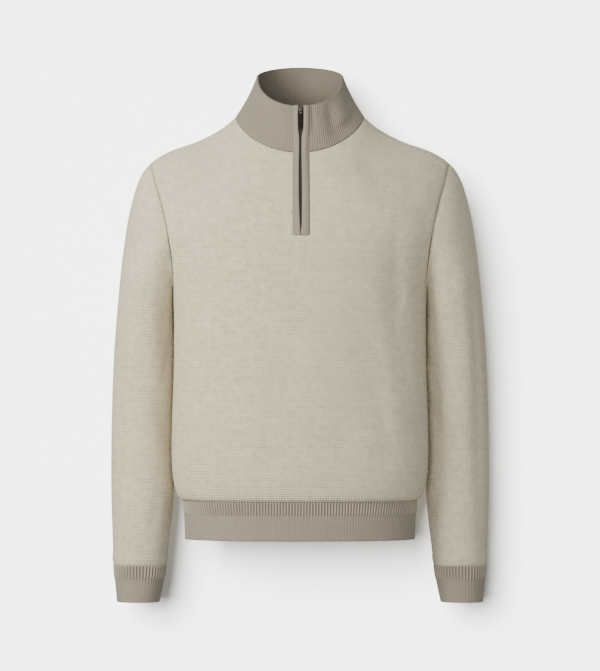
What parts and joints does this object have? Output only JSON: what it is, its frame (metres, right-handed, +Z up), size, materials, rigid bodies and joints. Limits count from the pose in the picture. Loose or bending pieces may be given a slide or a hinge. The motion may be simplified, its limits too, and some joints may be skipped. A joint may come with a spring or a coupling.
{
  "type": "quarter-zip mock-neck sweater",
  "caption": "Beige knitted sweater with a mock neck and a closed quarter zip, with ribbed collar, hem and cuffs, filled out as when it is worn, its sleeves hanging.",
  "frame": {"origin": "between the two points where the collar meets the shoulders, where the wearer's neck and shoulders hold the sweater up", "axes": "+Z up towards the collar, -Y out of the front, +X towards the wearer's left sleeve"},
  "size_m": [0.6072, 0.2489, 0.86],
  "materials": {
    "beige_knit": "fine matte knit",
    "taupe_rib": "matte rib knit",
    "dark_tape": "matte woven tape",
    "gunmetal": "satin dark metal"
  },
  "bodies": {
    "garment": {"front_panel": "beige_knit", "back_panel": "beige_knit", "sleeve_left": "beige_knit", "sleeve_right": "beige_knit", "collar": "taupe_rib", "hem_front": "taupe_rib", "hem_back": "taupe_rib", "cuff_left": "taupe_rib", "cuff_right": "taupe_rib", "band_left": "taupe_rib", "band_right": "taupe_rib", "zip_tape_left": "dark_tape", "zip_tape_right": "dark_tape", "zip_slider": "gunmetal"},
    "pull_tab": {"zip_pull": "gunmetal"}
  },
  "joints": [
    {"name": "pull_tab_hinge", "type": "hinge", "parent": "garment", "child": "pull_tab", "pos_m": [0.00135, -0.06606, 0.01254], "axis": [-1, 0, 0], "range_deg": [0, 150]}
  ]
}
